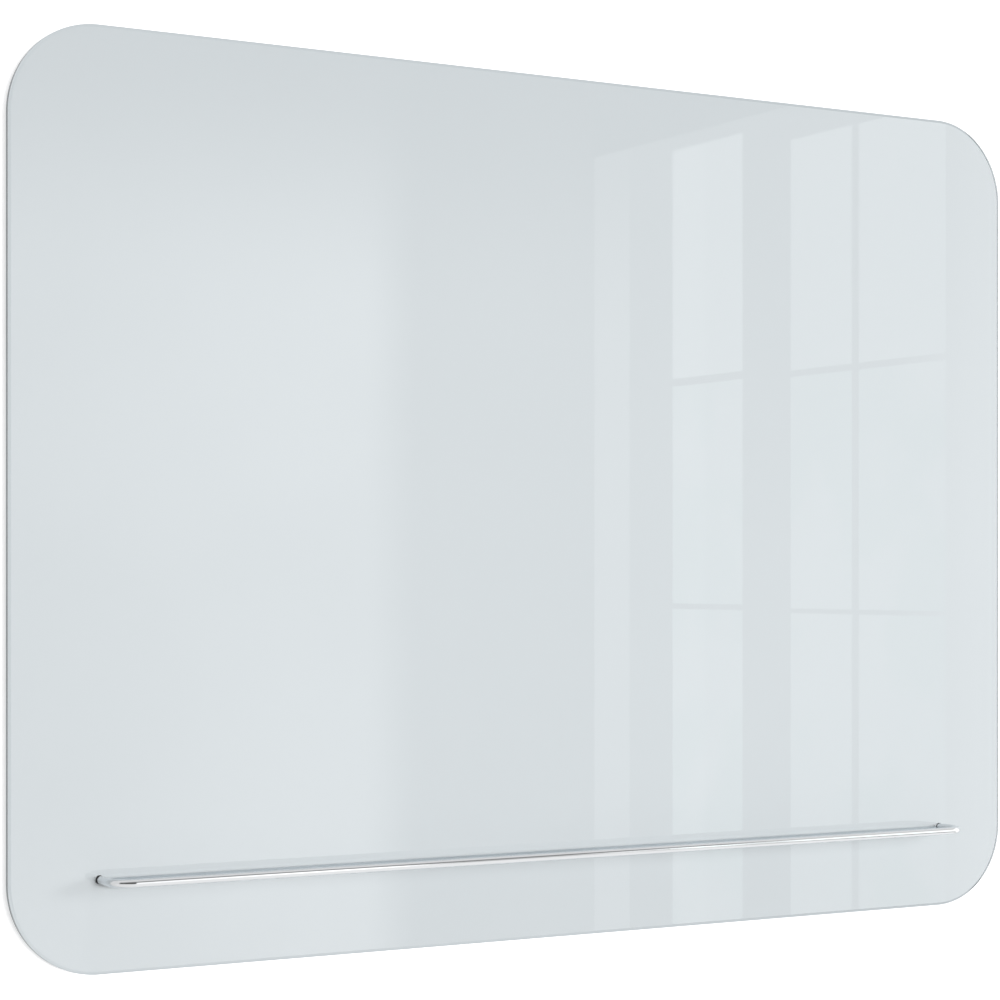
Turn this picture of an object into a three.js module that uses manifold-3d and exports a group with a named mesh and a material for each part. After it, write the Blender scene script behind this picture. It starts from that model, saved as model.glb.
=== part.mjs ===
// A wall-hung glass whiteboard with rounded corners and a bent chrome pen rail.
// Millimetres. +X is right as seen by the writer, the board faces -Y and +Z is up.
// The wall is the plane y = 0, and the origin is the middle of the wall rail's back face.

import * as THREE from "three";
import { mergeVertices } from "three/addons/utils/BufferGeometryUtils.js";
import Module from "manifold-3d";

const wasm = await Module();
wasm.setup();

// Board laminate
const BOARD_WIDTH = 1200;
const BOARD_HEIGHT = 900;
const CORNER_RADIUS = 90;
const GLASS_THICKNESS = 6;
const COAT_THICKNESS = 0.25;
const STEEL_THICKNESS = 0.75;
const FRONT_BEVEL = 1.5;
const BACK_ARRIS = 0.25;
const LAMINATE_THICKNESS = GLASS_THICKNESS + COAT_THICKNESS + STEEL_THICKNESS;

// Gap from the wall to the back of the laminate, and the rail's place below the top edge
const WALL_GAP = 14;
const RAIL_BELOW_TOP = 100;
const FRONT_Y = -(WALL_GAP + LAMINATE_THICKNESS);
const BOARD_CENTRE_Z = RAIL_BELOW_TOP - BOARD_HEIGHT / 2;

// Pen rail: its arms stand on the centres of the two lower corner arcs
const ROD_RADIUS = 4;
const ROD_REACH = 44;
const ROD_BEND_RADIUS = 20;
const ARM_X = BOARD_WIDTH / 2 - CORNER_RADIUS;
const ARM_Z = CORNER_RADIUS - BOARD_HEIGHT / 2;
const STUD_RADIUS = 2.5;
const STUD_CHAMFER = 0.5;
const STUD_ROOT = 6;
const GLASS_HOLE_RADIUS = 3.75;
const HOLE_CHAMFER = 0.25;
const FIT_GAP = 0.3;

// Tray plate between the arms
const TRAY_THICKNESS = 2;
const TRAY_GLASS_GAP = 2;

// Grommet, rear gasket, washer and nut on each stud
const GROMMET_FLANGE_RADIUS = 4.25;
const GROMMET_FLANGE_THICKNESS = 0.75;
const GROMMET_EDGE = 0.2;
const REAR_GASKET_RADIUS = 7;
const REAR_GASKET_THICKNESS = 1;
const WASHER_RADIUS = 7.5;
const WASHER_THICKNESS = 1.25;
const NUT_ACROSS_FLATS = 8;
const NUT_HEIGHT = 4;
const NUT_CHAMFER = 0.75;
const STUD_PAST_NUT = 1;

// Aluminium hanging rails
const RAIL_WALL = 2.5;
const WALL_RAIL_LENGTH = 900;
const WALL_RAIL_HALF_HEIGHT = 14;
const WALL_LIP_DEPTH = 8.5;
const WALL_LIP_TOP = 24;
const HOOK_RAIL_LENGTH = 1000;
const HOOK_FLANGE_BOTTOM = 2;
const HOOK_FLANGE_TOP = 44;
const HOOK_LIP_DEPTH = 5.5;
const HOOK_LIP_BOTTOM = 16.25;
const HOOK_REST_GAP = 0.25;
const LIP_CHAMFER = 0.75;
const SCREW_SLOT_X = [-420, -140, 140, 420];
const SCREW_SLOT_LENGTH = 16;
const SCREW_SLOT_WIDTH = 6.5;
const DRILL_LINE = 0.5;

// Bonding tape behind the hook rail and the spacers
const TAPE_THICKNESS = 1;
const RAIL_TAPE_HEIGHT = 16;
const RAIL_TAPE_MARGIN = 2;

// Lower spacers with a rubber bumper each
const SPACER_X = 400;
const SPACER_ABOVE_BOTTOM = 60;
const SPACER_WIDTH = 60;
const SPACER_HEIGHT = 36;
const SPACER_RADIUS = 8;
const SPACER_DRAFT = 1;
const SPACER_FLOOR = 2.5;
const SPACER_POCKET_WIDTH = 15;
const SPACER_RIM = 4;
const BUMPER_RADIUS = 11;
const BUMPER_HEAD = 2.5;
const BUMPER_EDGE = 1;
const BUMPER_STEM_RADIUS = 3.7;
const BUMPER_STEM_LENGTH = 5.5;

// Facets: an arc gets twice this number of steps
const CORNER_STEPS = 12;
const SMALL_STEPS = 4;
const ROUND_SIDES = 32;
const BEND_STEPS = 14;

// How far a cutting body runs past what it cuts, and the least distance between two corners
const CUT_MARGIN = 1;
const WELD_DISTANCE = 1e-4;
const LEAST_EDGE = 0.01;

const X_AXIS = new THREE.Vector3(1, 0, 0);
const Y_AXIS = new THREE.Vector3(0, 1, 0);
const Z_AXIS = new THREE.Vector3(0, 0, 1);

// Solids for joining and cutting

function solidOf(geometry) {
  const bare = geometry.clone();
  bare.deleteAttribute("normal");
  bare.deleteAttribute("uv");
  const welded = mergeVertices(bare, WELD_DISTANCE);
  return new wasm.Manifold(
    new wasm.Mesh({
      numProp: 3,
      vertProperties: new Float32Array(welded.attributes.position.array),
      triVerts: new Uint32Array(welded.index.array),
    })
  );
}

function geometryOf(solid) {
  const mesh = solid.getMesh();
  const geometry = new THREE.BufferGeometry();
  geometry.setAttribute("position", new THREE.BufferAttribute(mesh.vertProperties, 3));
  geometry.setIndex(new THREE.BufferAttribute(mesh.triVerts, 1));
  geometry.computeVertexNormals();
  return geometry;
}

function cut(geometry, cutters) {
  let left = solidOf(geometry);
  for (const cutter of cutters) {
    left = left.subtract(solidOf(cutter));
  }
  return geometryOf(left);
}

// Basic forms

function roundedRectangle(width, height, radius) {
  const x = width / 2 - radius;
  const z = height / 2 - radius;
  const shape = new THREE.Shape();
  shape.absarc(x, z, radius, 0, Math.PI / 2);
  shape.absarc(-x, z, radius, Math.PI / 2, Math.PI);
  shape.absarc(-x, -z, radius, Math.PI, Math.PI * 1.5);
  shape.absarc(x, -z, radius, Math.PI * 1.5, Math.PI * 2);
  return shape;
}

// An outline in the X-Z plane made into a slab, from its wall side at y = high towards the writer
function slab(shape, high, thickness, curveSegments) {
  const geometry = new THREE.ExtrudeGeometry(shape, { depth: thickness, bevelEnabled: false, curveSegments });
  return geometry.rotateX(Math.PI / 2).translate(0, high, 0);
}

// A profile in the Y-Z plane run along X, centred on x = 0
function railAlongX(profile, length) {
  const geometry = new THREE.ExtrudeGeometry(profile, { depth: length, bevelEnabled: false });
  geometry.applyMatrix4(new THREE.Matrix4().makeBasis(Y_AXIS, Z_AXIS, X_AXIS));
  return geometry.translate(-length / 2, 0, 0);
}

// A profile of (radius, y) points turned about the Y axis
function turned(points) {
  return new THREE.LatheGeometry(points.map(([radius, y]) => new THREE.Vector2(radius, y)), ROUND_SIDES);
}

function ring(inner, outer, low, high) {
  return turned([[inner, low], [outer, low], [outer, high], [inner, high], [inner, low]]);
}

function finish(color, roughness, metalness) {
  return new THREE.MeshStandardMaterial({ color, roughness, metalness });
}

function piece(name, geometry, material, place = [0, 0, 0]) {
  const mesh = new THREE.Mesh(geometry, material);
  mesh.name = name;
  mesh.position.set(...place);
  return mesh;
}

// Board laminate: y = 0 is the glass's front face and y grows towards the wall

function armHoleCutters(radius, chamfer) {
  const back = LAMINATE_THICKNESS + CUT_MARGIN;
  const front = -CUT_MARGIN;
  const wide = radius + chamfer + CUT_MARGIN;
  const profile = [[0, front], [wide, front], [radius, chamfer], [radius, back], [0, back]];
  return [-ARM_X, ARM_X].map((x) => turned(profile).translate(x, 0, ARM_Z));
}

function glassPane() {
  const flat = roundedRectangle(
    BOARD_WIDTH - 2 * FRONT_BEVEL,
    BOARD_HEIGHT - 2 * FRONT_BEVEL,
    CORNER_RADIUS - FRONT_BEVEL
  );
  const blank = new THREE.ExtrudeGeometry(flat, {
    depth: GLASS_THICKNESS - FRONT_BEVEL - BACK_ARRIS,
    bevelThickness: FRONT_BEVEL,
    bevelSize: FRONT_BEVEL,
    bevelSegments: 1,
    curveSegments: CORNER_STEPS,
  });
  blank.rotateX(Math.PI / 2).translate(0, GLASS_THICKNESS - BACK_ARRIS, 0);
  const ground = new THREE.BoxGeometry(
    BOARD_WIDTH + 2 * CUT_MARGIN,
    GLASS_THICKNESS,
    BOARD_HEIGHT + 2 * CUT_MARGIN
  );
  ground.translate(0, GLASS_THICKNESS * 1.5, 0);
  return cut(blank, [ground, ...armHoleCutters(GLASS_HOLE_RADIUS, HOLE_CHAMFER)]);
}

function backingSheet(front, thickness) {
  const outline = roundedRectangle(
    BOARD_WIDTH - 2 * BACK_ARRIS,
    BOARD_HEIGHT - 2 * BACK_ARRIS,
    CORNER_RADIUS - BACK_ARRIS
  );
  for (const x of [-ARM_X, ARM_X]) {
    outline.holes.push(new THREE.Path().absarc(x, ARM_Z, GLASS_HOLE_RADIUS, 0, Math.PI * 2));
  }
  return slab(outline, front + thickness, thickness, CORNER_STEPS);
}

// Pen rail: y = 0 is the glass's front face and z = 0 is the rod's axis

// The bent centre line, with a station at each end of a straight and along each bend
class RodLine extends THREE.Curve {
  constructor() {
    super();
    this.stations = [];
    this.add(-ARM_X, -GROMMET_FLANGE_THICKNESS, 0, -1);
    this.addBend(-1);
    this.addBend(1);
    this.add(ARM_X, -GROMMET_FLANGE_THICKNESS, 0, 1);
  }

  add(x, y, dx, dy) {
    this.stations.push({ point: new THREE.Vector3(x, y, 0), tangent: new THREE.Vector3(dx, dy, 0) });
  }

  // side is -1 for the left bend, which turns away from the glass first, and 1 for the right one
  addBend(side) {
    const centreX = side * (ARM_X - ROD_BEND_RADIUS);
    const centreY = ROD_BEND_RADIUS - ROD_REACH;
    for (let step = 0; step <= BEND_STEPS; step += 1) {
      const turn = ((step / BEND_STEPS) * Math.PI) / 2;
      const angle = side < 0 ? Math.PI + turn : Math.PI * 1.5 + turn;
      const x = centreX + ROD_BEND_RADIUS * Math.cos(angle);
      const y = centreY + ROD_BEND_RADIUS * Math.sin(angle);
      this.add(x, y, -Math.sin(angle), Math.cos(angle));
    }
  }

  get spans() {
    return this.stations.length - 1;
  }

  getPoint(t, target = new THREE.Vector3()) {
    const index = Math.min(Math.floor(t * this.spans + 1e-9), this.spans - 1);
    const share = t * this.spans - index;
    return target.lerpVectors(this.stations[index].point, this.stations[index + 1].point, share);
  }

  getTangent(t, target = new THREE.Vector3()) {
    return target.copy(this.stations[Math.round(t * this.spans)].tangent);
  }

  getPointAt(t, target) {
    return this.getPoint(t, target);
  }

  getTangentAt(t, target) {
    return this.getTangent(t, target);
  }
}

function penRailRod() {
  const line = new RodLine();
  const section = new THREE.Shape().absarc(0, 0, ROD_RADIUS, 0, Math.PI * 2);
  const bent = new THREE.ExtrudeGeometry(section, {
    steps: line.spans,
    extrudePath: line,
    curveSegments: ROUND_SIDES / 2,
  });
  const tip = LAMINATE_THICKNESS + REAR_GASKET_THICKNESS + WASHER_THICKNESS + NUT_HEIGHT + STUD_PAST_NUT;
  const stud = turned([
    [0, -STUD_ROOT],
    [STUD_RADIUS, -STUD_ROOT],
    [STUD_RADIUS, tip - STUD_CHAMFER],
    [STUD_RADIUS - STUD_CHAMFER, tip],
    [0, tip],
  ]);
  const left = solidOf(stud.clone().translate(-ARM_X, 0, 0));
  const right = solidOf(stud.clone().translate(ARM_X, 0, 0));
  return geometryOf(solidOf(bent).add(left).add(right));
}

function trayPlate() {
  const inset = ROD_RADIUS + FIT_GAP;
  const x = ARM_X - inset;
  const radius = ROD_BEND_RADIUS - inset;
  const front = inset - ROD_REACH;
  const outline = new THREE.Shape();
  outline.moveTo(x, -TRAY_GLASS_GAP);
  outline.lineTo(-x, -TRAY_GLASS_GAP);
  outline.absarc(radius - x, front + radius, radius, Math.PI, Math.PI * 1.5);
  outline.absarc(x - radius, front + radius, radius, Math.PI * 1.5, Math.PI * 2);
  outline.closePath();
  const plate = new THREE.ExtrudeGeometry(outline, {
    depth: TRAY_THICKNESS,
    bevelEnabled: false,
    curveSegments: BEND_STEPS / 2,
  });
  return plate.translate(0, 0, -TRAY_THICKNESS / 2);
}

function grommet() {
  const bore = STUD_RADIUS + FIT_GAP;
  const sleeve = GLASS_HOLE_RADIUS - FIT_GAP;
  const end = LAMINATE_THICKNESS - FIT_GAP;
  return turned([
    [bore, -GROMMET_FLANGE_THICKNESS],
    [GROMMET_FLANGE_RADIUS - GROMMET_EDGE, -GROMMET_FLANGE_THICKNESS],
    [GROMMET_FLANGE_RADIUS, GROMMET_EDGE - GROMMET_FLANGE_THICKNESS],
    [GROMMET_FLANGE_RADIUS, -FIT_GAP / 2],
    [sleeve, -FIT_GAP / 2],
    [sleeve, end],
    [bore, end],
    [bore, -GROMMET_FLANGE_THICKNESS],
  ]);
}

function rearGasket() {
  const front = LAMINATE_THICKNESS;
  return ring(STUD_RADIUS + FIT_GAP, REAR_GASKET_RADIUS, front, front + REAR_GASKET_THICKNESS);
}

function washer() {
  const front = LAMINATE_THICKNESS + REAR_GASKET_THICKNESS;
  return ring(STUD_RADIUS + FIT_GAP, WASHER_RADIUS, front, front + WASHER_THICKNESS);
}

// A hexagon whose corners are turned down to a chamfer on the outer face
function nut() {
  const corner = NUT_ACROSS_FLATS / 2 / Math.cos(Math.PI / 6);
  const hexagon = new THREE.Shape();
  for (let side = 0; side < 6; side += 1) {
    const angle = (side * Math.PI) / 3;
    hexagon.lineTo(corner * Math.cos(angle), corner * Math.sin(angle));
  }
  hexagon.closePath();
  const front = LAMINATE_THICKNESS + REAR_GASKET_THICKNESS + WASHER_THICKNESS;
  const body = slab(hexagon, front + NUT_HEIGHT, NUT_HEIGHT, SMALL_STEPS);
  const back = front + NUT_HEIGHT;
  const bore = STUD_RADIUS + FIT_GAP;
  const under = front - CUT_MARGIN;
  const envelope = turned([
    [bore, under],
    [corner + NUT_CHAMFER, under],
    [corner + NUT_CHAMFER, back - NUT_CHAMFER],
    [corner - NUT_CHAMFER, back],
    [bore, back],
    [bore, under],
  ]);
  return geometryOf(solidOf(body).intersect(solidOf(envelope)));
}

// Hanging rails: y = 0 is the wall and z = 0 is the middle of the wall rail's flange

function outlineOf(points) {
  return new THREE.Shape(points.map(([y, z]) => new THREE.Vector2(y, z)));
}

function wallRail() {
  const top = WALL_RAIL_HALF_HEIGHT;
  const lipFront = -WALL_LIP_DEPTH;
  const lipBack = RAIL_WALL - WALL_LIP_DEPTH;
  const slotZ = -RAIL_WALL / 2;
  const profile = outlineOf([
    [0, -top],
    [-RAIL_WALL, -top],
    [-RAIL_WALL, slotZ - DRILL_LINE],
    [DRILL_LINE - RAIL_WALL, slotZ],
    [-RAIL_WALL, slotZ + DRILL_LINE],
    [-RAIL_WALL, top - RAIL_WALL],
    [lipFront, top - RAIL_WALL],
    [lipFront, WALL_LIP_TOP - LIP_CHAMFER],
    [lipFront + LIP_CHAMFER, WALL_LIP_TOP],
    [lipBack - LIP_CHAMFER, WALL_LIP_TOP],
    [lipBack, WALL_LIP_TOP - LIP_CHAMFER],
    [lipBack, top],
    [0, top],
  ]);
  const slots = SCREW_SLOT_X.map((x) => {
    const slot = roundedRectangle(SCREW_SLOT_LENGTH, SCREW_SLOT_WIDTH, SCREW_SLOT_WIDTH / 2 - LEAST_EDGE);
    return slab(slot, CUT_MARGIN, RAIL_WALL + 2 * CUT_MARGIN, SMALL_STEPS).translate(x, 0, slotZ);
  });
  return cut(railAlongX(profile, WALL_RAIL_LENGTH), slots);
}

function hookRail() {
  const bonded = TAPE_THICKNESS - WALL_GAP;
  const inner = bonded + RAIL_WALL;
  const lipFront = -HOOK_LIP_DEPTH;
  const lipBack = RAIL_WALL - HOOK_LIP_DEPTH;
  const webBottom = WALL_LIP_TOP + HOOK_REST_GAP;
  const webTop = webBottom + RAIL_WALL;
  const profile = outlineOf([
    [bonded, HOOK_FLANGE_BOTTOM],
    [inner, HOOK_FLANGE_BOTTOM],
    [inner, webBottom],
    [lipFront, webBottom],
    [lipFront, HOOK_LIP_BOTTOM + LIP_CHAMFER],
    [lipFront + LIP_CHAMFER, HOOK_LIP_BOTTOM],
    [lipBack - LIP_CHAMFER, HOOK_LIP_BOTTOM],
    [lipBack, HOOK_LIP_BOTTOM + LIP_CHAMFER],
    [lipBack, webTop - LIP_CHAMFER],
    [lipBack - LIP_CHAMFER, webTop],
    [inner, webTop],
    [inner, HOOK_FLANGE_TOP],
    [bonded, HOOK_FLANGE_TOP],
  ]);
  return railAlongX(profile, HOOK_RAIL_LENGTH);
}

function tape(width, height) {
  return new THREE.BoxGeometry(width, TAPE_THICKNESS, height);
}

// Lower spacers: y = 0 is the back of the laminate and y grows towards the wall

function spacerBlock() {
  const depth = WALL_GAP - TAPE_THICKNESS - BUMPER_HEAD;
  const wallFace = TAPE_THICKNESS + depth;
  const outer = roundedRectangle(
    SPACER_WIDTH - 2 * SPACER_DRAFT,
    SPACER_HEIGHT - 2 * SPACER_DRAFT,
    SPACER_RADIUS - SPACER_DRAFT
  );
  const blank = new THREE.ExtrudeGeometry(outer, {
    depth: depth - 2 * SPACER_DRAFT,
    bevelThickness: SPACER_DRAFT,
    bevelSize: SPACER_DRAFT,
    bevelSegments: 2,
    curveSegments: SMALL_STEPS,
  });
  blank.rotateX(Math.PI / 2).translate(0, wallFace - SPACER_DRAFT, 0);
  const pocketHeight = SPACER_HEIGHT - 2 * SPACER_RIM;
  const pocketX = SPACER_WIDTH / 2 - SPACER_RIM - SPACER_POCKET_WIDTH / 2;
  const pocket = roundedRectangle(SPACER_POCKET_WIDTH, pocketHeight, SPACER_RIM);
  const pocketDepth = depth - SPACER_FLOOR;
  const pockets = [-pocketX, pocketX].map((x) =>
    slab(pocket, wallFace + CUT_MARGIN, pocketDepth + CUT_MARGIN, SMALL_STEPS).translate(x, 0, 0)
  );
  const socket = BUMPER_STEM_RADIUS + FIT_GAP;
  const socketFloor = wallFace - BUMPER_STEM_LENGTH - FIT_GAP;
  const mouth = wallFace + CUT_MARGIN;
  const stemSocket = turned([[0, socketFloor], [socket, socketFloor], [socket, mouth], [0, mouth]]);
  return cut(blank, [...pockets, stemSocket]);
}

function wallBumper() {
  const seat = WALL_GAP - BUMPER_HEAD;
  return turned([
    [0, seat - BUMPER_STEM_LENGTH],
    [BUMPER_STEM_RADIUS, seat - BUMPER_STEM_LENGTH],
    [BUMPER_STEM_RADIUS, seat],
    [BUMPER_RADIUS, seat],
    [BUMPER_RADIUS, WALL_GAP - BUMPER_EDGE],
    [BUMPER_RADIUS - BUMPER_EDGE, WALL_GAP],
    [0, WALL_GAP],
  ]);
}

// Sub-assemblies

function laminate() {
  const group = new THREE.Group();
  group.position.set(0, FRONT_Y, 0);
  group.add(
    piece("glass_pane", glassPane(), finish(0xdce4e8, 0.05, 0)),
    piece("colour_coat", backingSheet(GLASS_THICKNESS, COAT_THICKNESS), finish(0xeef1f2, 0.6, 0)),
    piece(
      "steel_back_sheet",
      backingSheet(GLASS_THICKNESS + COAT_THICKNESS, STEEL_THICKNESS),
      finish(0x9aa0a3, 0.5, 0.9)
    )
  );
  return group;
}

function penRail() {
  const group = new THREE.Group();
  group.position.set(0, FRONT_Y, ARM_Z);
  group.add(
    piece("pen_rail_rod", penRailRod(), finish(0xdfe2e4, 0.08, 1)),
    piece("tray_plate", trayPlate(), finish(0xa9adb0, 0.3, 1))
  );
  for (const [side, x] of [["left", -ARM_X], ["right", ARM_X]]) {
    group.add(
      piece(`rail_grommet_${side}`, grommet(), finish(0x1c1d1f, 0.7, 0), [x, 0, 0]),
      piece(`rail_gasket_${side}`, rearGasket(), finish(0x26282a, 0.8, 0), [x, 0, 0]),
      piece(`rail_washer_${side}`, washer(), finish(0xb8bbbd, 0.35, 1), [x, 0, 0]),
      piece(`rail_nut_${side}`, nut(), finish(0xb0b3b5, 0.35, 1), [x, 0, 0])
    );
  }
  return group;
}

function hangingHook() {
  const group = new THREE.Group();
  group.position.set(0, 0, -BOARD_CENTRE_Z);
  const tapeY = TAPE_THICKNESS / 2 - WALL_GAP;
  const tapeWidth = HOOK_RAIL_LENGTH - 2 * RAIL_TAPE_MARGIN;
  const lowerZ = HOOK_FLANGE_BOTTOM + RAIL_TAPE_MARGIN + RAIL_TAPE_HEIGHT / 2;
  const upperZ = HOOK_FLANGE_TOP - RAIL_TAPE_MARGIN - RAIL_TAPE_HEIGHT / 2;
  group.add(
    piece("hook_rail", hookRail(), finish(0xb9bdc0, 0.45, 0.9)),
    piece("rail_tape_lower", tape(tapeWidth, RAIL_TAPE_HEIGHT), finish(0x2b2b2c, 0.9, 0), [0, tapeY, lowerZ]),
    piece("rail_tape_upper", tape(tapeWidth, RAIL_TAPE_HEIGHT), finish(0x2b2b2c, 0.9, 0), [0, tapeY, upperZ])
  );
  return group;
}

function spacer(side, x) {
  const group = new THREE.Group();
  group.position.set(x, -WALL_GAP, SPACER_ABOVE_BOTTOM - BOARD_HEIGHT / 2);
  const pad = tape(SPACER_WIDTH - 2 * SPACER_RIM, SPACER_HEIGHT - 2 * SPACER_RIM);
  group.add(
    piece(`spacer_tape_${side}`, pad, finish(0x2b2b2c, 0.9, 0), [0, TAPE_THICKNESS / 2, 0]),
    piece(`spacer_block_${side}`, spacerBlock(), finish(0x3a3c3e, 0.6, 0)),
    piece(`wall_bumper_${side}`, wallBumper(), finish(0x1b1b1c, 0.8, 0))
  );
  return group;
}

const board = new THREE.Group();
board.position.set(0, 0, BOARD_CENTRE_Z);
board.add(laminate(), penRail(), hangingHook(), spacer("left", -SPACER_X), spacer("right", SPACER_X));

const wallSide = new THREE.Group();
wallSide.add(piece("wall_rail", wallRail(), finish(0xb9bdc0, 0.45, 0.9)));

const whiteboard = new THREE.Group();
whiteboard.add(wallSide, board);

export default whiteboard;
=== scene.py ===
"""A wall-hung glass whiteboard: finer pieces, materials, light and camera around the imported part.

Metres, in the part's own frame: +X is right as seen by the writer, the board faces -Y and +Z is up.
The wall is the plane y = 0.
"""

import math

import bmesh
import bpy
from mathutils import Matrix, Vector


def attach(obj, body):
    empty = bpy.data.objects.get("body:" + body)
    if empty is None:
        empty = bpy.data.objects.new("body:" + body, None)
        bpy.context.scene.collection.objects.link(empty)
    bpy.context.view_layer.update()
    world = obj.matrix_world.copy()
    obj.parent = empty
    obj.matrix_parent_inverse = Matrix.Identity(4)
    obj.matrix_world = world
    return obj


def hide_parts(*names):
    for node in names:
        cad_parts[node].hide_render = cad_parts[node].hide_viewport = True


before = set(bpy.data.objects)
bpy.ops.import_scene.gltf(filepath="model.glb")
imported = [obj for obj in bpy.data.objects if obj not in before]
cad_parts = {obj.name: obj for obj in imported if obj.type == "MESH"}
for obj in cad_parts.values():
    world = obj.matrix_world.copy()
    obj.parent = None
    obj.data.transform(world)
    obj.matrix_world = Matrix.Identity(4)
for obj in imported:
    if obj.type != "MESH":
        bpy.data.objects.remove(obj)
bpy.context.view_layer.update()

# Board laminate
BOARD_WIDTH = 1.2
BOARD_HEIGHT = 0.9
BOARD_CENTRE_Z = -0.35
CORNER_RADIUS = 0.09
FRONT_Y = -0.021
BOARD_CENTRE = (0, FRONT_Y, BOARD_CENTRE_Z)
GLASS_THICKNESS = 0.006
LAMINATE_THICKNESS = 0.007
# The bevel round the face is slightly rounded: wide across the face, shallow in depth
BEVEL_WIDTH = 0.003
BEVEL_DEPTH = 0.0012
BACK_ARRIS = 0.00025
HOLE_RADIUS = 0.00375
HOLE_CHAMFER = 0.00025
# The pane's back face lies this far in front of the colour layer, so that no two faces share a plane
FACE_PARTING = 0.00002
# The pane's material slots
FACE_SLOT = 0
BEVEL_SLOT = 1
EDGE_SLOT = 2
COAT_SLOT = 3

# Pen rail
ROD_RADIUS = 0.004
ROD_REACH = 0.044
ROD_BEND_RADIUS = 0.020
ROD_EDGE = 0.0003
# The middle of a rounded edge lies this share of its size in from both of its sides
EDGE_MIDDLE = 0.3
ARM_X = BOARD_WIDTH / 2 - CORNER_RADIUS
ARM_Z = BOARD_CENTRE_Z + CORNER_RADIUS - BOARD_HEIGHT / 2
FIT_GAP = 0.0003
TRAY_THICKNESS = 0.002
TRAY_GLASS_GAP = 0.002
TRAY_EDGE = 0.0003
GROMMET_FLANGE_RADIUS = 0.00425
GROMMET_FLANGE_THICKNESS = 0.00075
GROMMET_EDGE = 0.00025
GROMMET_SLEEVE = HOLE_RADIUS - FIT_GAP

# Threaded studs. Depths are measured from the glass's front face towards the wall
STUD_RADIUS = 0.0025
STUD_TIP = 0.01425
STUD_TIP_CENTRE = 0.0001
STUD_CHAMFER = 0.0005
# The chamfer's middle ring: shares of its size back from the tip and in from the stud's side
CHAMFER_MIDDLE_BACK = 0.7
CHAMFER_MIDDLE_IN = 0.5
THREAD_PITCH = 0.0008
THREAD_DEPTH = 0.0004
THREAD_START = 0.0055
# Over half a pitch the thread goes from a narrow flat crest down a straight flank to a flat root
FLANK_SLOPE = 1.25
FLANK_OFFSET = 0.125
GROMMET_BORE = STUD_RADIUS + FIT_GAP

# Edge radii of pieces that keep their CAD mesh
RAIL_EDGE = 0.00025
SPACER_EDGE = 0.0004
BUMPER_EDGE = 0.0005
WASHER_EDGE = 0.00015
SOFT_EDGE_SEGMENTS = 3
SOFT_EDGE_DEGREES = 35
WELD_DISTANCE = 0.00002

# Mesh fineness
CORNER_STEPS = 48
BEVEL_STEPS = 10
BEND_STEPS = 28
EDGE_STEPS = 4
THREAD_STEPS = 8
ROUND_SIDES = 64
SHARP_DEGREES = 28
ROD_SHARP_DEGREES = 24

# Materials
GLASS_IOR = 1.52
# A noise's values lie mostly between these two
NOISE_LOW = 0.3
NOISE_HIGH = 0.7

# Wall and floor. The painted wall lies just behind the plane that the part rests on
STAGE_SIDE = 6
STAGE_FRONT = -9
STAGE_FLOOR = -1.8
STAGE_TOP = 5
STAGE_WALL = 0.0005
WALL_ALBEDO = 0.90
WALL_GLOW = 0.46

# Mirrored room
ROOM_LEFT = -4.0
ROOM_RIGHT = 2.62
ROOM_BACK = -4.1
ROOM_FRONT = -0.02
ROOM_FLOOR = -1.6
ROOM_CEILING = 1.5
ROOM_X = (ROOM_LEFT, ROOM_RIGHT)
ROOM_Y = (ROOM_BACK, ROOM_FRONT)
ROOM_Z = (ROOM_FLOOR, ROOM_CEILING)
RUG_X = (1.7, ROOM_RIGHT)
RUG_Y = (-2.9, -0.3)
RUG_Z = ROOM_FLOOR + 0.01
# The window lies just inside the right-hand wall, and the pelmet just inside the window
WINDOW_X = ROOM_RIGHT - 0.02
WINDOW_BOTTOM = -1.5
PELMET_X = WINDOW_X - 0.01
PELMET_Y = (-4.08, -2.95)
PELMET_Z = (0.80, ROOM_CEILING)
CURTAIN_Y = (-4.08, -3.89)
CURTAIN_Z = (ROOM_FLOOR, 1.2)
# The two bars across each leaf of the window: (low z, high z)
BACK_LEAF_BARS = ((-0.515, -0.500), (0.105, 0.126))
FRONT_LEAF_BARS = ((-0.52, -0.508), (0.095, 0.112))
# Panes: low y, high y, top z, level, bars
WINDOW_PANES = (
    (-3.67, -3.51, 0.764, 2.25, BACK_LEAF_BARS),
    (-3.51, -3.335, 0.764, 2.05, BACK_LEAF_BARS),
    (-3.12, -2.863, 0.713, 1.95, FRONT_LEAF_BARS),
    (-2.835, -2.5, 0.713, 1.95, FRONT_LEAF_BARS),
)
# Tints of the light in the panes: the sky, and blurred patches of another tint outside below it
SKY = (0.97, 1.0, 1.0)
OUTSIDE = (0.84, 0.93, 0.91)
OUTSIDE_SCALE = 3.2

# Light. A level is the share of full white that a lamp gives a surface facing it at its target
AMBIENT = 0.19
# Softboxes: name, place, target, (width, height), level
SOFTBOXES = (
    ("softbox_front", (-0.9, -7.0, -0.10), BOARD_CENTRE, (3.0, 0.7), 0.59),
    ("softbox_window", (2.6, -3.2, 0.10), BOARD_CENTRE, (1.2, 0.75), 0.14),
    ("softbox_low", (0.3, -0.9, -0.63), (0.3, FRONT_Y, -0.63), (2.2, 0.15), 0.15),
    ("softbox_above", (0.3, -0.2, 3.0), (0, -0.05, 0), (2.4, 0.8), 0.40),
    ("softbox_behind", (0.6, 3.2, 0.9), (0, 0, BOARD_CENTRE_Z), (2.4, 2.4), 0.35),
)

# Camera, solved from the photograph's edges. Lens and sensor are in millimetres
CAMERA_PLACE = (-1.39392, -2.3028, -0.42188)
CAMERA_YAW_DEGREES = 30.090
CAMERA_LENS = 91.92
CAMERA_SENSOR = 36
CAMERA_SHIFT_UP = 0.07537
CAMERA_CLIP_START = 0.01


# Meshes


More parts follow.
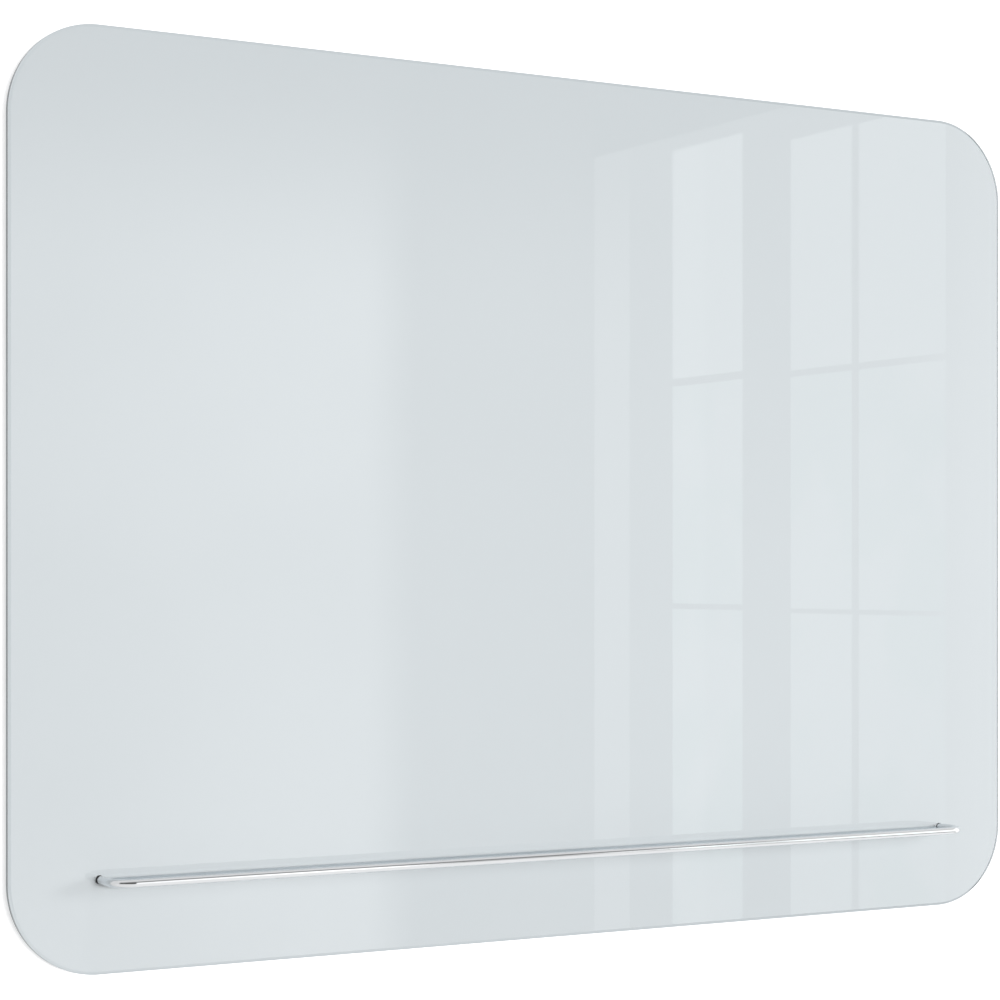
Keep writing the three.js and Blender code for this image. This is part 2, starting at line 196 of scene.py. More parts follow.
def finish_mesh(name, bm, materials, sharp_degrees=SHARP_DEGREES):
    """Turns a bmesh into a smooth-shaded object that is sharp where its faces meet at an angle."""
    bmesh.ops.recalc_face_normals(bm, faces=bm.faces)
    mesh = bpy.data.meshes.new(name)
    bm.to_mesh(mesh)
    bm.free()
    for material in materials:
        mesh.materials.append(material)
    mesh.shade_smooth()
    mesh.set_sharp_from_angle(angle=math.radians(sharp_degrees))
    sharpen_between_materials(mesh)
    return link_object(name, mesh)


def link_object(name, data):
    made = bpy.data.objects.new(name, data)
    bpy.context.scene.collection.objects.link(made)
    return made


def sharpen_between_materials(mesh):
    """Keeps a flat face flat where another finish starts beside it."""
    slots = {}
    for face in mesh.polygons:
        for key in face.edge_keys:
            slots.setdefault(key, set()).add(face.material_index)
    for line in mesh.edges:
        if len(slots[line.key]) > 1:
            line.use_edge_sharp = True


def ring_of(bm, points):
    return [bm.verts.new(point) for point in points]


def bridge(bm, first, second, slot=0):
    """Joins two rings of as many points with a band of faces."""
    count = len(first)
    for i in range(count):
        j = (i + 1) % count
        face = bm.faces.new((first[i], first[j], second[j], second[i]))
        face.material_index = slot


def cap(bm, rings, slot):
    """Fills the flat area between an outer ring and the rings inside it."""
    edges = []
    for ring in rings:
        for i, vert in enumerate(ring):
            pair = (vert, ring[(i + 1) % len(ring)])
            edges.append(bm.edges.get(pair) or bm.edges.new(pair))
    filled = bmesh.ops.triangle_fill(bm, edges=edges, use_beauty=True, use_dissolve=False)
    for item in filled["geom"]:
        if isinstance(item, bmesh.types.BMFace):
            item.material_index = slot


def board_outline(inset, depth):
    """The board's outline, moved inwards by inset, at a depth behind the glass's front face."""
    radius = CORNER_RADIUS - inset
    points = []
    for quarter, (side_x, side_z) in enumerate(((1, 1), (-1, 1), (-1, -1), (1, -1))):
        centre_x = side_x * (BOARD_WIDTH / 2 - CORNER_RADIUS)
        centre_z = BOARD_CENTRE_Z + side_z * (BOARD_HEIGHT / 2 - CORNER_RADIUS)
        for step in range(CORNER_STEPS + 1):
            angle = math.radians(90 * (quarter + step / CORNER_STEPS))
            x = centre_x + radius * math.cos(angle)
            z = centre_z + radius * math.sin(angle)
            points.append((x, FRONT_Y + depth, z))
    return points


def circle_round_arm(arm_x, radius, depth):
    """A circle round an arm's axis, at a depth behind the glass's front face."""
    turns = [2 * math.pi * i / ROUND_SIDES for i in range(ROUND_SIDES)]
    return [(arm_x + radius * math.cos(t), FRONT_Y + depth, ARM_Z + radius * math.sin(t)) for t in turns]


def glass_pane(materials):
    """The pane, with a bevel round its face, a ground edge and two drilled holes."""
    bm = bmesh.new()
    back_depth = GLASS_THICKNESS - FACE_PARTING
    turns = [math.pi / 2 * step / BEVEL_STEPS for step in range(BEVEL_STEPS + 1)]
    rows = [(BEVEL_WIDTH * (1 - math.sin(turn)), BEVEL_DEPTH * (1 - math.cos(turn))) for turn in turns]
    rows.append((0, GLASS_THICKNESS - BACK_ARRIS))
    rows.append((BACK_ARRIS, back_depth))
    rings = [ring_of(bm, board_outline(inset, depth)) for inset, depth in rows]
    for i in range(len(rings) - 1):
        slot = BEVEL_SLOT if i < BEVEL_STEPS else EDGE_SLOT
        bridge(bm, rings[i], rings[i + 1], slot)
    front = [rings[0]]
    back = [rings[-1]]
    hole_rows = [(HOLE_RADIUS + HOLE_CHAMFER, 0), (HOLE_RADIUS, HOLE_CHAMFER), (HOLE_RADIUS, back_depth)]
    for arm_x in (-ARM_X, ARM_X):
        hole = [ring_of(bm, circle_round_arm(arm_x, radius, depth)) for radius, depth in hole_rows]
        bridge(bm, hole[0], hole[1], EDGE_SLOT)
        bridge(bm, hole[1], hole[2], EDGE_SLOT)
        front.append(hole[0])
        back.append(hole[-1])
    cap(bm, front, FACE_SLOT)
    cap(bm, back, COAT_SLOT)
    return finish_mesh("glass_pane_polished", bm, materials)


def grommet(name, arm_x, materials):
    """A moulded bush: a flange with a rounded rim on the glass, and a sleeve through the laminate."""
    flange = -GROMMET_FLANGE_THICKNESS
    end = LAMINATE_THICKNESS - FIT_GAP
    profile = [(GROMMET_BORE, flange)]
    for step in range(EDGE_STEPS + 1):
        angle = math.pi / 2 * step / EDGE_STEPS
        radius = GROMMET_FLANGE_RADIUS - GROMMET_EDGE * (1 - math.sin(angle))
        profile.append((radius, flange + GROMMET_EDGE * (1 - math.cos(angle))))
    profile.append((GROMMET_FLANGE_RADIUS, -FIT_GAP / 2))
    profile.append((GROMMET_SLEEVE, -FIT_GAP / 2))
    profile.append((GROMMET_SLEEVE, end))
    profile.append((GROMMET_BORE, end))
    bm = bmesh.new()
    rings = [ring_of(bm, circle_round_arm(arm_x, radius, depth)) for radius, depth in profile]
    for i, ring in enumerate(rings):
        bridge(bm, ring, rings[(i + 1) % len(rings)])
    return finish_mesh(name, bm, materials)


def thread_radius(distance, turn):
    """The radius of a right-hand thread at a distance along the stud and an angle round it."""
    phase = (distance / THREAD_PITCH - turn / (2 * math.pi)) % 1
    flank = abs(2 * phase - 1)
    return STUD_RADIUS - THREAD_DEPTH * min(1, max(0, FLANK_SLOPE * flank - FLANK_OFFSET))


def rod_stations():
    """(centre, direction, radius, threaded) from the left stud's tip round to the right one's."""
    left = []

    def on_arm(depth, radius, threaded=False):
        left.append((Vector((-ARM_X, FRONT_Y + depth, ARM_Z)), Vector((0, -1, 0)), radius, threaded))

    on_arm(STUD_TIP, STUD_TIP_CENTRE)
    on_arm(STUD_TIP, STUD_RADIUS - STUD_CHAMFER)
    on_arm(
        STUD_TIP - STUD_CHAMFER * CHAMFER_MIDDLE_BACK,
        STUD_RADIUS - STUD_CHAMFER * CHAMFER_MIDDLE_IN,
    )
    thread_end = STUD_TIP - STUD_CHAMFER
    for step in range(round((thread_end - THREAD_START) / THREAD_PITCH * THREAD_STEPS) + 1):
        on_arm(thread_end - step * THREAD_PITCH / THREAD_STEPS, STUD_RADIUS, True)
    on_arm(THREAD_START - THREAD_PITCH / 2, STUD_RADIUS)
    flange = -GROMMET_FLANGE_THICKNESS
    on_arm(flange, STUD_RADIUS)
    on_arm(flange, ROD_RADIUS - ROD_EDGE)
    on_arm(flange - ROD_EDGE * EDGE_MIDDLE, ROD_RADIUS - ROD_EDGE * EDGE_MIDDLE)
    on_arm(flange - ROD_EDGE, ROD_RADIUS)
    centre = Vector((-ARM_X + ROD_BEND_RADIUS, FRONT_Y - ROD_REACH + ROD_BEND_RADIUS, ARM_Z))
    for step in range(BEND_STEPS + 1):
        angle = math.pi + math.pi / 2 * step / BEND_STEPS
        outward = Vector((math.cos(angle), math.sin(angle), 0))
        along = Vector((-math.sin(angle), math.cos(angle), 0))
        left.append((centre + ROD_BEND_RADIUS * outward, along, ROD_RADIUS, False))
    right = []
    for place, direction, radius, threaded in reversed(left):
        mirrored_place = Vector((-place.x, place.y, place.z))
        mirrored_direction = Vector((direction.x, -direction.y, 0))
        right.append((mirrored_place, mirrored_direction, radius, threaded))
    return left + right


def pen_rail(materials):
    bm = bmesh.new()
    rings = []
    for place, direction, radius, threaded in rod_stations():
        across = Vector((-direction.y, direction.x, 0))
        distance = place.y if direction.y < 0 else -place.y
        ring = []
        for i in range(ROUND_SIDES):
            turn = 2 * math.pi * i / ROUND_SIDES
            reach = thread_radius(distance, turn) if threaded else radius
            offset = math.cos(turn) * across + math.sin(turn) * Vector((0, 0, 1))
            ring.append(bm.verts.new(place + reach * offset))
        rings.append(ring)
    for first, second in zip(rings, rings[1:]):
        bridge(bm, first, second)
    bm.faces.new(rings[0])
    bm.faces.new(rings[-1])
    return finish_mesh("pen_rail_chrome", bm, materials, ROD_SHARP_DEGREES)


def tray_plate(materials):
    """A plate between the glass and the rod, whose front corners follow the inside of the bends."""
    inset = ROD_RADIUS + FIT_GAP
    side = ARM_X - inset
    radius = ROD_BEND_RADIUS - inset
    front = FRONT_Y + inset - ROD_REACH
    back = FRONT_Y - TRAY_GLASS_GAP
    outline = [(side, back), (-side, back)]
    for start, centre_x in ((180, radius - side), (270, side - radius)):
        for step in range(BEND_STEPS + 1):
            angle = math.radians(start + 90 * step / BEND_STEPS)
            x = centre_x + radius * math.cos(angle)
            outline.append((x, front + radius * (1 + math.sin(angle))))
    bm = bmesh.new()
    top = ring_of(bm, [(x, y, ARM_Z + TRAY_THICKNESS / 2) for x, y in outline])
    bottom = ring_of(bm, [(x, y, ARM_Z - TRAY_THICKNESS / 2) for x, y in outline])
    bridge(bm, top, bottom)
    bm.faces.new(top)
    bm.faces.new(bottom)
    piece = finish_mesh("tray_plate_satin", bm, materials)
    add_soft_edges(piece, TRAY_EDGE)
    return piece


def add_soft_edges(piece, width):
    """A small machined or moulded radius on every sharp edge."""
    modifier = piece.modifiers.new("soft edges", "BEVEL")
    modifier.width = width
    modifier.segments = SOFT_EDGE_SEGMENTS
    modifier.limit_method = "ANGLE"
    modifier.angle_limit = math.radians(SOFT_EDGE_DEGREES)
    modifier.harden_normals = True


# Materials


class Surface:
    """A Principled material with the few nodes that a procedural pattern needs."""

    def __init__(self, name, **sockets):
        self.material = bpy.data.materials.new(name)
        self.material.use_nodes = True
        self.tree = self.material.node_tree
        self.shader = self.tree.nodes["Principled BSDF"]
        for socket, value in sockets.items():
            self.shader.inputs[socket.replace("_", " ")].default_value = value

    def node(self, kind, **settings):
        made = self.tree.nodes.new(kind)
        for key, value in settings.items():
            setattr(made, key, value)
        return made

    def link(self, output, target):
        self.tree.links.new(output, target)

    def place(self, stretch=(1, 1, 1)):
        """Object coordinates, stretched along an axis to draw a grain."""
        coordinates = self.node("ShaderNodeTexCoord")
        mapping = self.node("ShaderNodeMapping")
        mapping.inputs["Scale"].default_value = stretch
        self.link(coordinates.outputs["Object"], mapping.inputs["Vector"])
        return mapping.outputs["Vector"]

    def noise(self, scale, stretch=(1, 1, 1), detail=3, roughness=0.55):
        made = self.node("ShaderNodeTexNoise")
        made.inputs["Scale"].default_value = scale
        made.inputs["Detail"].default_value = detail
        made.inputs["Roughness"].default_value = roughness
        self.link(self.place(stretch), made.inputs["Vector"])
        return made.outputs["Fac"]

    def cells(self, scale):
        made = self.node("ShaderNodeTexVoronoi")
        made.inputs["Scale"].default_value = scale
        self.link(self.place(), made.inputs["Vector"])
        return made.outputs

    def slant(self):
        """0 where the surface is looked into squarely, towards 1 where it turns away."""
        return self.node("ShaderNodeLayerWeight").outputs["Facing"]

    def spread(self, value, low, high, start=NOISE_LOW, end=NOISE_HIGH):
        """Maps the range of a pattern from start to end onto the range from low to high."""
        made = self.node("ShaderNodeMapRange")
        made.inputs["From Min"].default_value = start
        made.inputs["From Max"].default_value = end
        made.inputs["To Min"].default_value = low
        made.inputs["To Max"].default_value = high
        self.link(value, made.inputs["Value"])
        return made.outputs["Result"]

    def colour_from(self, pattern, first, second, start=NOISE_LOW, end=NOISE_HIGH):
        """Base colour from the first tone to the second, over a pattern's range from start to end."""
        self.mix_colour(self.spread(pattern, 0, 1, start, end), first, second)

    def mix_colour(self, factor, first, second):
        made = self.node("ShaderNodeMix", data_type="RGBA")
        tones = [socket for socket in made.inputs if socket.type == "RGBA"]
        tones[0].default_value = (*first, 1)
        tones[1].default_value = (*second, 1)
        self.link(factor, made.inputs["Factor"])
        result = next(socket for socket in made.outputs if socket.type == "RGBA")
        self.link(result, self.shader.inputs["Base Color"])

    def roughness_from(self, pattern, low, high, start=NOISE_LOW, end=NOISE_HIGH):
        self.link(self.spread(pattern, low, high, start, end), self.shader.inputs["Roughness"])

    def bump(self, height, strength, distance):
        made = self.node("ShaderNodeBump")
        made.inputs["Strength"].default_value = strength
        made.inputs["Distance"].default_value = distance
        self.link(height, made.inputs["Height"])
        self.link(made.outputs["Normal"], self.shader.inputs["Normal"])

    def let_lamps_through(self):
        """Lamps and diffuse light pass clear glass, so that what lies behind it is lit."""
        rays = self.node("ShaderNodeLightPath")
        either = self.node("ShaderNodeMath", operation="MAXIMUM")
        self.link(rays.outputs["Is Shadow Ray"], either.inputs[0])
        self.link(rays.outputs["Is Diffuse Ray"], either.inputs[1])
        clear = self.node("ShaderNodeBsdfTransparent")
        mix = self.node("ShaderNodeMixShader")
        output = self.tree.nodes["Material Output"]
        self.link(either.outputs[0], mix.inputs[0])
        self.link(self.shader.outputs[0], mix.inputs[1])
        self.link(clear.outputs[0], mix.inputs[2])
        self.link(mix.outputs[0], output.inputs["Surface"])


def polished_glass():
    """Clear glass with the faint streaks that wiping leaves."""
    tint = (0.985, 0.995, 0.993, 1)
    glass = Surface("toughened_glass", Base_Color=tint, IOR=GLASS_IOR, Transmission_Weight=1.0)
    streaks = glass.noise(scale=9, stretch=(1, 1, 0.25), detail=4)
    glass.roughness_from(streaks, low=0.006, high=0.022)
    glass.let_lamps_through()
    return glass.material


def polished_bevel():
    """The bevel round the face: clear where it is looked into squarely, with painted shade that darkens it
    where it turns away from view, which shows as a darker outer line.
    """
    glass = Surface("polished_bevel", IOR=GLASS_IOR, Transmission_Weight=1.0)
    square_on = (0.90, 0.92, 0.925)
    slant_painted_shade = (0.62, 0.65, 0.665)
    # Painted shade: the colour darkens with the slant, standing in for the shade along the board's outline
    glass.colour_from(glass.slant(), square_on, slant_painted_shade, start=0.08, end=0.30)
    glass.roughness_from(glass.noise(scale=40, detail=3), low=0.02, high=0.06)
    glass.let_lamps_through()
    return glass.material


def ground_edge():
    """The glass's rim, ground along its length and polished, dark where it is looked into."""
    edge = Surface("ground_edge", IOR=GLASS_IOR, Transmission_Weight=1.0)
    edge.colour_from(edge.noise(scale=18, detail=3), (0.028, 0.033, 0.037), (0.042, 0.049, 0.054))
    lines = edge.noise(scale=1, stretch=(14, 5200, 14), detail=2)
    edge.roughness_from(lines, low=0.16, high=0.32)
    edge.bump(lines, strength=0.12, distance=0.00003)
    edge.let_lamps_through()
    return edge.material


def fired_coat():
    """The pale grey-white enamel fired on the back of the glass."""
    coat = Surface("fired_coat", Roughness=0.55, Specular_IOR_Level=0.0)
    cloud = coat.noise(scale=2.2, detail=2)
    grain = coat.noise(scale=900, detail=2)
    grain_share = 0.25
    mixed = coat.node("ShaderNodeMath", operation="MULTIPLY_ADD")
    coat.link(grain, mixed.inputs[0])
    mixed.inputs[1].default_value = grain_share
    coat.link(cloud, mixed.inputs[2])
    coat.colour_from(mixed.outputs[0], (0.704, 0.750, 0.776), (0.720, 0.765, 0.790), start=0.35, end=0.9)
    return coat.material


def chrome():
    """Bright chrome plate, brighter at a slant, with faint polishing lines and handling haze."""
    plate = Surface("chrome_plate", Metallic=1.0)
    square_on = (0.64, 0.65, 0.66)
    slanting = (0.80, 0.82, 0.84)
    plate.colour_from(plate.slant(), square_on, slanting, start=0.35, end=0.62)
    haze = plate.noise(scale=26, stretch=(0.4, 1, 1), detail=5)
    plate.roughness_from(haze, low=0.055, high=0.11)
    lines = plate.noise(scale=1, stretch=(30, 3800, 3800), detail=3)
    plate.bump(lines, strength=0.05, distance=0.00002)
    return plate.material


def satin_steel():
    """Stainless plate brushed along its length."""
    steel = Surface("satin_steel", Metallic=1.0, Specular_Tint=(0.80, 0.84, 0.87, 1))
    brushed = steel.noise(scale=1, stretch=(7, 2600, 2600), detail=5, roughness=0.7)
    drift = steel.noise(scale=12, stretch=(0.5, 1, 1), detail=3)
    steel.colour_from(brushed, (0.41, 0.435, 0.455), (0.48, 0.505, 0.525))
    steel.roughness_from(drift, low=0.14, high=0.20)
    steel.bump(brushed, strength=0.08, distance=0.00002)
    return steel.material


def black_rubber():
    """Moulded rubber, matt, with a little bloom."""
    rubber = Surface("black_rubber", Specular_IOR_Level=0.4)
    bloom = rubber.noise(scale=420, detail=4)
    rubber.colour_from(bloom, (0.034, 0.034, 0.036), (0.056, 0.056, 0.059))
    rubber.roughness_from(bloom, low=0.55, high=0.75)
    rubber.bump(rubber.noise(scale=2600, detail=3), strength=0.3, distance=0.00004)
    return rubber.material


def zinc_sheet():
    """Zinc-coated sheet with a faint spangle: each facet has its own grey and gloss."""
    zinc = Surface("zinc_sheet", Metallic=1.0)
    split = zinc.node("ShaderNodeSeparateColor")
    zinc.link(zinc.cells(scale=105)["Color"], split.inputs[0])
    grey = split.outputs[0]
    gloss = split.outputs[1]
    zinc.mix_colour(grey, (0.505, 0.52, 0.53), (0.59, 0.605, 0.615))
    zinc.roughness_from(gloss, low=0.38, high=0.55, start=0, end=1)
    zinc.bump(zinc.noise(scale=320, detail=4), strength=0.12, distance=0.00005)
    return zinc.material


def plated_fastener():
    """Bright zinc plating, turned, with small tool marks."""
    plate = Surface("plated_fastener", Metallic=1.0)
    marks = plate.noise(scale=1, stretch=(900, 900, 900), detail=4)
    plate.colour_from(marks, (0.55, 0.565, 0.575), (0.66, 0.67, 0.675))
    plate.roughness_from(plate.noise(scale=140, detail=3), low=0.26, high=0.42)
    plate.bump(marks, strength=0.15, distance=0.00003)
    return plate.material


def mill_aluminium():
    """Extruded aluminium with fine die lines along its length."""
    metal = Surface("mill_aluminium", Metallic=1.0)
    lines = metal.noise(scale=1, stretch=(3, 1500, 1500), detail=5, roughness=0.65)
    drift = metal.noise(scale=8, stretch=(0.3, 1, 1), detail=3)
    metal.colour_from(drift, (0.60, 0.61, 0.62), (0.70, 0.71, 0.715))
    metal.roughness_from(lines, low=0.34, high=0.50)
    metal.bump(lines, strength=0.22, distance=0.00004)
    return metal.material


def foam_tape():
    """Closed-cell foam, dark grey, with its cut cells showing."""
    foam = Surface("foam_tape", Roughness=0.9, Specular_IOR_Level=0.25)
    walls = foam.cells(scale=2600)["Distance"]
    foam.colour_from(walls, (0.022, 0.022, 0.023), (0.05, 0.05, 0.052), start=0.0, end=0.8)
    foam.bump(walls, strength=0.5, distance=0.0001)
    return foam.material


def moulded_plastic():
    """Dark grey moulded spacer with a fine spark-eroded texture."""
    plastic = Surface("moulded_plastic", Specular_IOR_Level=0.45)
    spark = plastic.noise(scale=1500, detail=3)
    drift = plastic.noise(scale=60, detail=2)
    plastic.colour_from(drift, (0.040, 0.042, 0.045), (0.055, 0.057, 0.060))
    plastic.roughness_from(spark, low=0.45, high=0.62)
    plastic.bump(spark, strength=0.25, distance=0.00005)
    return plastic.material


clear = polished_glass()
bevel = polished_bevel()
edge = ground_edge()
coat = fired_coat()
chrome_plate = chrome()
satin = satin_steel()
rubber = black_rubber()
zinc = zinc_sheet()
fastener = plated_fastener()
aluminium = mill_aluminium()
foam = foam_tape()
plastic = moulded_plastic()

# Nodes that keep their CAD mesh: each has a material, and some have an edge radius
cad_looks = {
    "colour_coat": (coat, None),
    "steel_back_sheet": (zinc, None),
    "hook_rail": (aluminium, RAIL_EDGE),
    "wall_rail": (aluminium, RAIL_EDGE),
    "rail_tape_lower": (foam, None),
    "rail_tape_upper": (foam, None),
}
for side in ("left", "right"):
    cad_looks[f"rail_gasket_{side}"] = (rubber, None)
    cad_looks[f"rail_washer_{side}"] = (fastener, WASHER_EDGE)
    cad_looks[f"rail_nut_{side}"] = (fastener, None)
    cad_looks[f"spacer_tape_{side}"] = (foam, None)
    cad_looks[f"spacer_block_{side}"] = (plastic, SPACER_EDGE)
    cad_looks[f"wall_bumper_{side}"] = (rubber, BUMPER_EDGE)

for node, (material, edge_radius) in cad_looks.items():
    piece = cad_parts[node]
    piece.data.materials.clear()
    piece.data.materials.append(material)
    if edge_radius:
        weld = piece.modifiers.new("joined corners", "WELD")
        weld.merge_threshold = WELD_DISTANCE
        add_soft_edges(piece, edge_radius)


# Pieces that stand for CAD nodes


def stand_for(piece, node):
    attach(piece, "board")
    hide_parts(node)


stand_for(glass_pane([clear, bevel, edge, coat]), "glass_pane")
stand_for(pen_rail([chrome_plate]), "pen_rail_rod")
stand_for(tray_plate([satin]), "tray_plate")
for side, arm_x in (("left", -ARM_X), ("right", ARM_X)):
    bush = grommet(f"grommet_moulded_{side}", arm_x, [rubber])
    stand_for(bush, f"rail_grommet_{side}")


# Stage: wall and floor


def panel(name, corners, material):
    mesh = bpy.data.meshes.new(name)
    mesh.from_pydata(corners, [], [(0, 1, 2, 3)])
    mesh.materials.append(material)
    made = link_object(name, mesh)
    return made


def show_only_to(made, camera=False, glossy=False):
    made.visible_camera = camera
    made.visible_glossy = glossy
    made.visible_diffuse = False
    made.visible_transmission = False
    made.visible_volume_scatter = False
    made.visible_shadow = False


def empty_material(name):
    """A material without a shader, whose light is sampled only where a ray meets it."""
    made = bpy.data.materials.new(name)
    made.use_nodes = True
    made.node_tree.nodes.remove(made.node_tree.nodes["Principled BSDF"])
    made.cycles.emission_sampling = "NONE"
    return made


def wall_paint():
    """Diffuse on its front, lifted to white for the camera, and clear from behind."""
    made = empty_material("wall_paint")
    tree = made.node_tree
    diffuse = tree.nodes.new("ShaderNodeBsdfDiffuse")
    diffuse.inputs["Color"].default_value = (WALL_ALBEDO, WALL_ALBEDO, WALL_ALBEDO, 1)
    light = tree.nodes.new("ShaderNodeEmission")
    light.inputs["Strength"].default_value = WALL_GLOW
    both = tree.nodes.new("ShaderNodeAddShader")
    tree.links.new(diffuse.outputs[0], both.inputs[0])
    tree.links.new(light.outputs[0], both.inputs[1])
    clear_back = tree.nodes.new("ShaderNodeBsdfTransparent")
    facing = tree.nodes.new("ShaderNodeNewGeometry")
    mix = tree.nodes.new("ShaderNodeMixShader")
    tree.links.new(facing.outputs["Backfacing"], mix.inputs[0])
    tree.links.new(both.outputs[0], mix.inputs[1])
    tree.links.new(clear_back.outputs[0], mix.inputs[2])
    tree.links.new(mix.outputs[0], tree.nodes["Material Output"].inputs["Surface"])
    return made


wall_low_left = (-STAGE_SIDE, STAGE_WALL, STAGE_FLOOR)
wall_low_right = (STAGE_SIDE, STAGE_WALL, STAGE_FLOOR)
wall_high_right = (STAGE_SIDE, STAGE_WALL, STAGE_TOP)
wall_high_left = (-STAGE_SIDE, STAGE_WALL, STAGE_TOP)
floor_front_left = (-STAGE_SIDE, STAGE_FRONT, STAGE_FLOOR)
floor_front_right = (STAGE_SIDE, STAGE_FRONT, STAGE_FLOOR)
paint = wall_paint()
wall = panel("wall", [wall_low_left, wall_low_right, wall_high_right, wall_high_left], paint)
show_only_to(wall, camera=True)
floor = panel("floor", [wall_low_left, floor_front_left, floor_front_right, wall_low_right], paint)
show_only_to(floor, camera=True)


# Mirrored room: a pale room with a tall window in its right-hand wall, for polished glass and metal

# Axes of a fade
X, Y, Z = 0, 1, 2


def ranged(tree, value, start, end, low, high, interpolation="SMOOTHSTEP"):
    made = tree.nodes.new("ShaderNodeMapRange")
    made.interpolation_type = interpolation
    for socket, number in (("From Min", start), ("From Max", end), ("To Min", low), ("To Max", high)):
        made.inputs[socket].default_value = number
    tree.links.new(value, made.inputs["Value"])
    return made.outputs["Result"]


def times(tree, first, second):
    made = tree.nodes.new("ShaderNodeMath")
    made.operation = "MULTIPLY"
    tree.links.new(first, made.inputs[0])
    tree.links.new(second, made.inputs[1])
    return made.outputs[0]


def soft_noise(tree, place, scale):
    made = tree.nodes.new("ShaderNodeTexNoise")
    made.inputs["Scale"].default_value = scale
    made.inputs["Detail"].default_value = 2
    tree.links.new(place, made.inputs["Vector"])
    return made.outputs["Fac"]


def glow_material(name, level, tint=(1, 1, 1), fades=(), cloud=None, patches=None):
    """Emission for the mirrored room, as dim as the world to light that has left a matt surface.

    Each fade is (axis, start, end, low, high), a factor that goes from low to high along an axis.
    cloud is (scale, share) of a soft unevenness, and patches is (scale, tint) of a second tint in
    blurred patches. All are in the part's coordinates.
    """
    made = empty_material(name)
    tree = made.node_tree
    light = tree.nodes.new("ShaderNodeEmission")
    light.inputs["Color"].default_value = (*tint, 1)
    tree.links.new(light.outputs[0], tree.nodes["Material Output"].inputs["Surface"])
    bounces = tree.nodes.new("ShaderNodeLightPath").outputs["Diffuse Depth"]
    place = tree.nodes.new("ShaderNodeTexCoord").outputs["Object"]
    split = tree.nodes.new("ShaderNodeSeparateXYZ")
    tree.links.new(place, split.inputs[0])
    factors = [ranged(tree, split.outputs[axis], *limits) for axis, *limits in fades]
    if cloud:
        scale, share = cloud
        unevenness = soft_noise(tree, place, scale)
        factors.append(ranged(tree, unevenness, NOISE_LOW, NOISE_HIGH, 1 - share, 1 + share))
    strength = ranged(tree, bounces, 0, 1, level, AMBIENT, interpolation="LINEAR")
    for factor in factors:
        strength = times(tree, factor, strength)
    tree.links.new(strength, light.inputs["Strength"])
    if patches:
        scale, second_tint = patches
        mix = tree.nodes.new("ShaderNodeMix")
        mix.data_type = "RGBA"
        tones = [socket for socket in mix.inputs if socket.type == "RGBA"]
        tones[0].default_value = (*tint, 1)
        tones[1].default_value = (*second_tint, 1)
        blurred = ranged(tree, soft_noise(tree, place, scale), start=0.42, end=0.58, low=0, high=1)
        tree.links.new(blurred, mix.inputs["Factor"])
        result = next(socket for socket in mix.outputs if socket.type == "RGBA")
        tree.links.new(result, light.inputs["Color"])
    return made


def mirrored(name, x, y, z, level, **look):
    """A glowing rectangle for glossy rays alone. Two of x, y and z are (low, high), and one is a place."""
    spans = [place if isinstance(place, tuple) else (place, place) for place in (x, y, z)]
    across, up = [axis for axis, (low, high) in enumerate(spans) if low != high]
    corners = []
    for across_end, up_end in ((0, 0), (1, 0), (1, 1), (0, 1)):
        corner = [low for low, high in spans]
        corner[across] = spans[across][across_end]
        corner[up] = spans[up][up_end]
        corners.append(corner)
    show_only_to(panel(name, corners, glow_material(name, level, **look)), glossy=True)


mirrored("room_ceiling", ROOM_X, ROOM_Y, ROOM_CEILING, level=1.04, fades=((Y, -3.0, -0.9, 0.45, 1.0),))
mirrored("room_floor", ROOM_X, ROOM_Y, ROOM_FLOOR, level=1.12, fades=((X, -0.7, 0.2, 1.0, 1.12),))
mirrored("room_rug", RUG_X, RUG_Y, RUG_Z, level=0.25)
mirrored(
    "room_right",
    ROOM_RIGHT,
    ROOM_Y,
    ROOM_Z,
    level=1.9,
    fades=((Z, -0.3, 0.8, 1.0, 0.78), (Z, 0.78, 0.9, 1.0, 0.55), (Y, -2.8, -2.35, 0.48, 1.0)),
)
mirrored("room_left", ROOM_LEFT, ROOM_Y, ROOM_Z, level=1.0, fades=((Y, -2.2, -1.4, 0.2, 1.0),))
mirrored(
    "room_back",
    ROOM_X,
    ROOM_BACK,
    ROOM_Z,
    level=1.95,
    fades=(
        (Z, 0.30, 1.05, 1.0, 0.08),
        (Z, -0.15, -0.45, 1.0, 0.92),
        (Z, -1.4, -0.9, 1.35, 1.05),
        (X, 0.30, 0.60, 0.12, 1.0),
        (X, 0.75, 1.75, 0.72, 1.0),
        (X, 1.84, 2.04, 1.0, 0.38),
    ),
    cloud=(1.3, 0.08),
)
mirrored("pelmet", PELMET_X, PELMET_Y, PELMET_Z, level=0.10)
mirrored("curtain", WINDOW_X, CURTAIN_Y, CURTAIN_Z, level=1.55, fades=((Z, 0.2, 0.9, 1.0, 0.5),))
for number, (low_y, high_y, top, level, bars) in enumerate(WINDOW_PANES):
    lower_bar, upper_bar = bars
    lights = ((WINDOW_BOTTOM, lower_bar[0]), (lower_bar[1], upper_bar[0]), (upper_bar[1], top))
    for row, heights in enumerate(lights):
        outside = {} if row == 2 else {"patches": (OUTSIDE_SCALE, OUTSIDE)}
        mirrored(f"pane_{number}_{row}", WINDOW_X, (low_y, high_y), heights, level, tint=SKY, **outside)


# Lamps


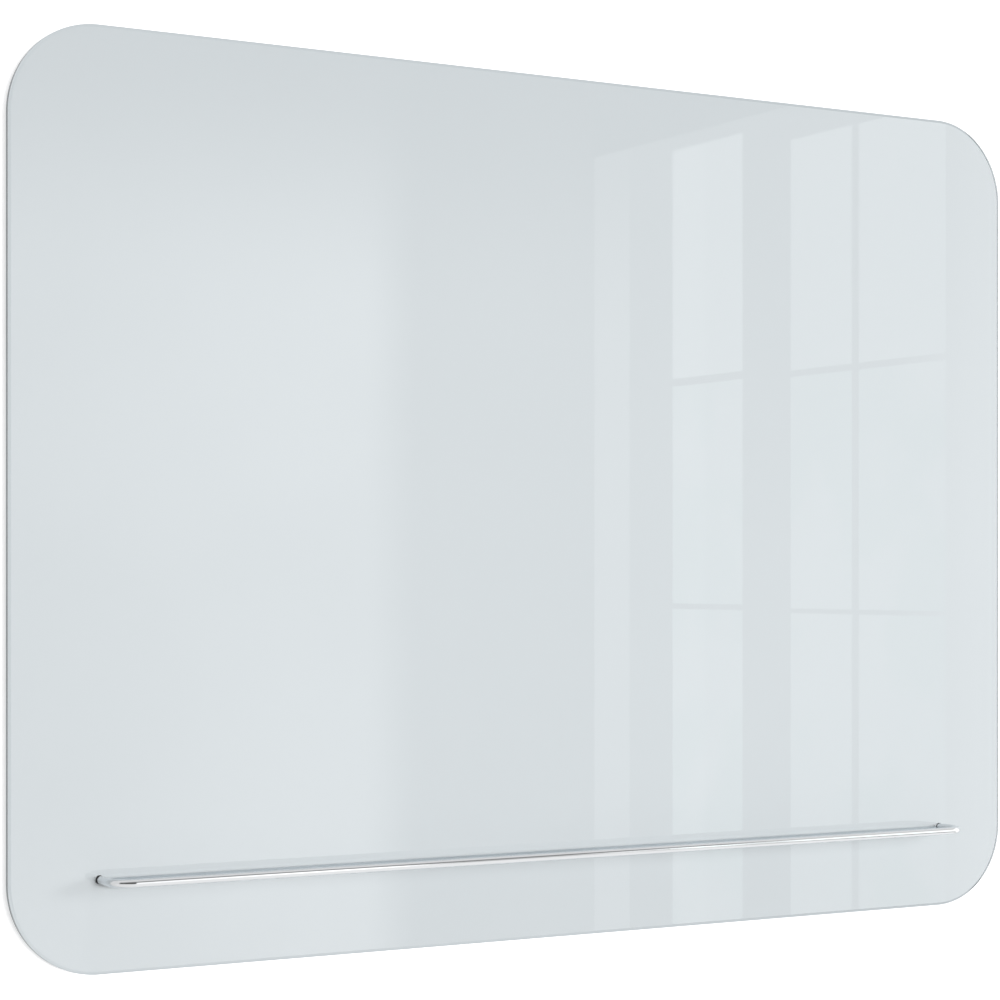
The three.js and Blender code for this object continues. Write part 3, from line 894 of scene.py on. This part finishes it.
def softbox(name, place, target, size, level):
    """An area lamp for matt surfaces. Its energy follows from the level and from how far its target is."""
    data = bpy.data.lights.new(name, "AREA")
    data.shape = "RECTANGLE"
    data.size, data.size_y = size
    away = Vector(target) - Vector(place)
    data.energy = level * math.pi * math.pi * away.length_squared
    lamp = link_object(name, data)
    lamp.location = place
    lamp.rotation_euler = away.to_track_quat("-Z", "Y").to_euler()
    lamp.visible_camera = False
    lamp.visible_glossy = False
    lamp.visible_transmission = False


for box in SOFTBOXES:
    softbox(*box)


# World: white to the camera and in mirrors, and an even low light to matt surfaces


def studio_world():
    world = bpy.data.worlds.new("studio")
    world.use_nodes = True
    tree = world.node_tree
    ambient = tree.nodes["Background"]
    seen = tree.nodes.new("ShaderNodeBackground")
    for background, strength in ((ambient, AMBIENT), (seen, 1.0)):
        background.inputs["Color"].default_value = (1, 1, 1, 1)
        background.inputs["Strength"].default_value = strength
    rays = tree.nodes.new("ShaderNodeLightPath")
    sees_white = rays.outputs["Is Camera Ray"]
    for kind in ("Is Glossy Ray", "Is Transmission Ray"):
        either = tree.nodes.new("ShaderNodeMath")
        either.operation = "MAXIMUM"
        tree.links.new(sees_white, either.inputs[0])
        tree.links.new(rays.outputs[kind], either.inputs[1])
        sees_white = either.outputs[0]
    blend = tree.nodes.new("ShaderNodeMixShader")
    tree.links.new(sees_white, blend.inputs[0])
    tree.links.new(ambient.outputs[0], blend.inputs[1])
    tree.links.new(seen.outputs[0], blend.inputs[2])
    tree.links.new(blend.outputs[0], tree.nodes["World Output"].inputs["Surface"])
    return world


bpy.context.scene.world = studio_world()


# Camera

camera_data = bpy.data.cameras.new("camera")
camera_data.sensor_width = CAMERA_SENSOR
camera_data.lens = CAMERA_LENS
camera_data.shift_y = CAMERA_SHIFT_UP
camera_data.clip_start = CAMERA_CLIP_START
camera = link_object("camera", camera_data)
camera.location = CAMERA_PLACE
camera.rotation_euler = (math.pi / 2, 0, -math.radians(CAMERA_YAW_DEGREES))
bpy.context.scene.camera = camera
bpy.context.scene.view_settings.view_transform = "Standard"
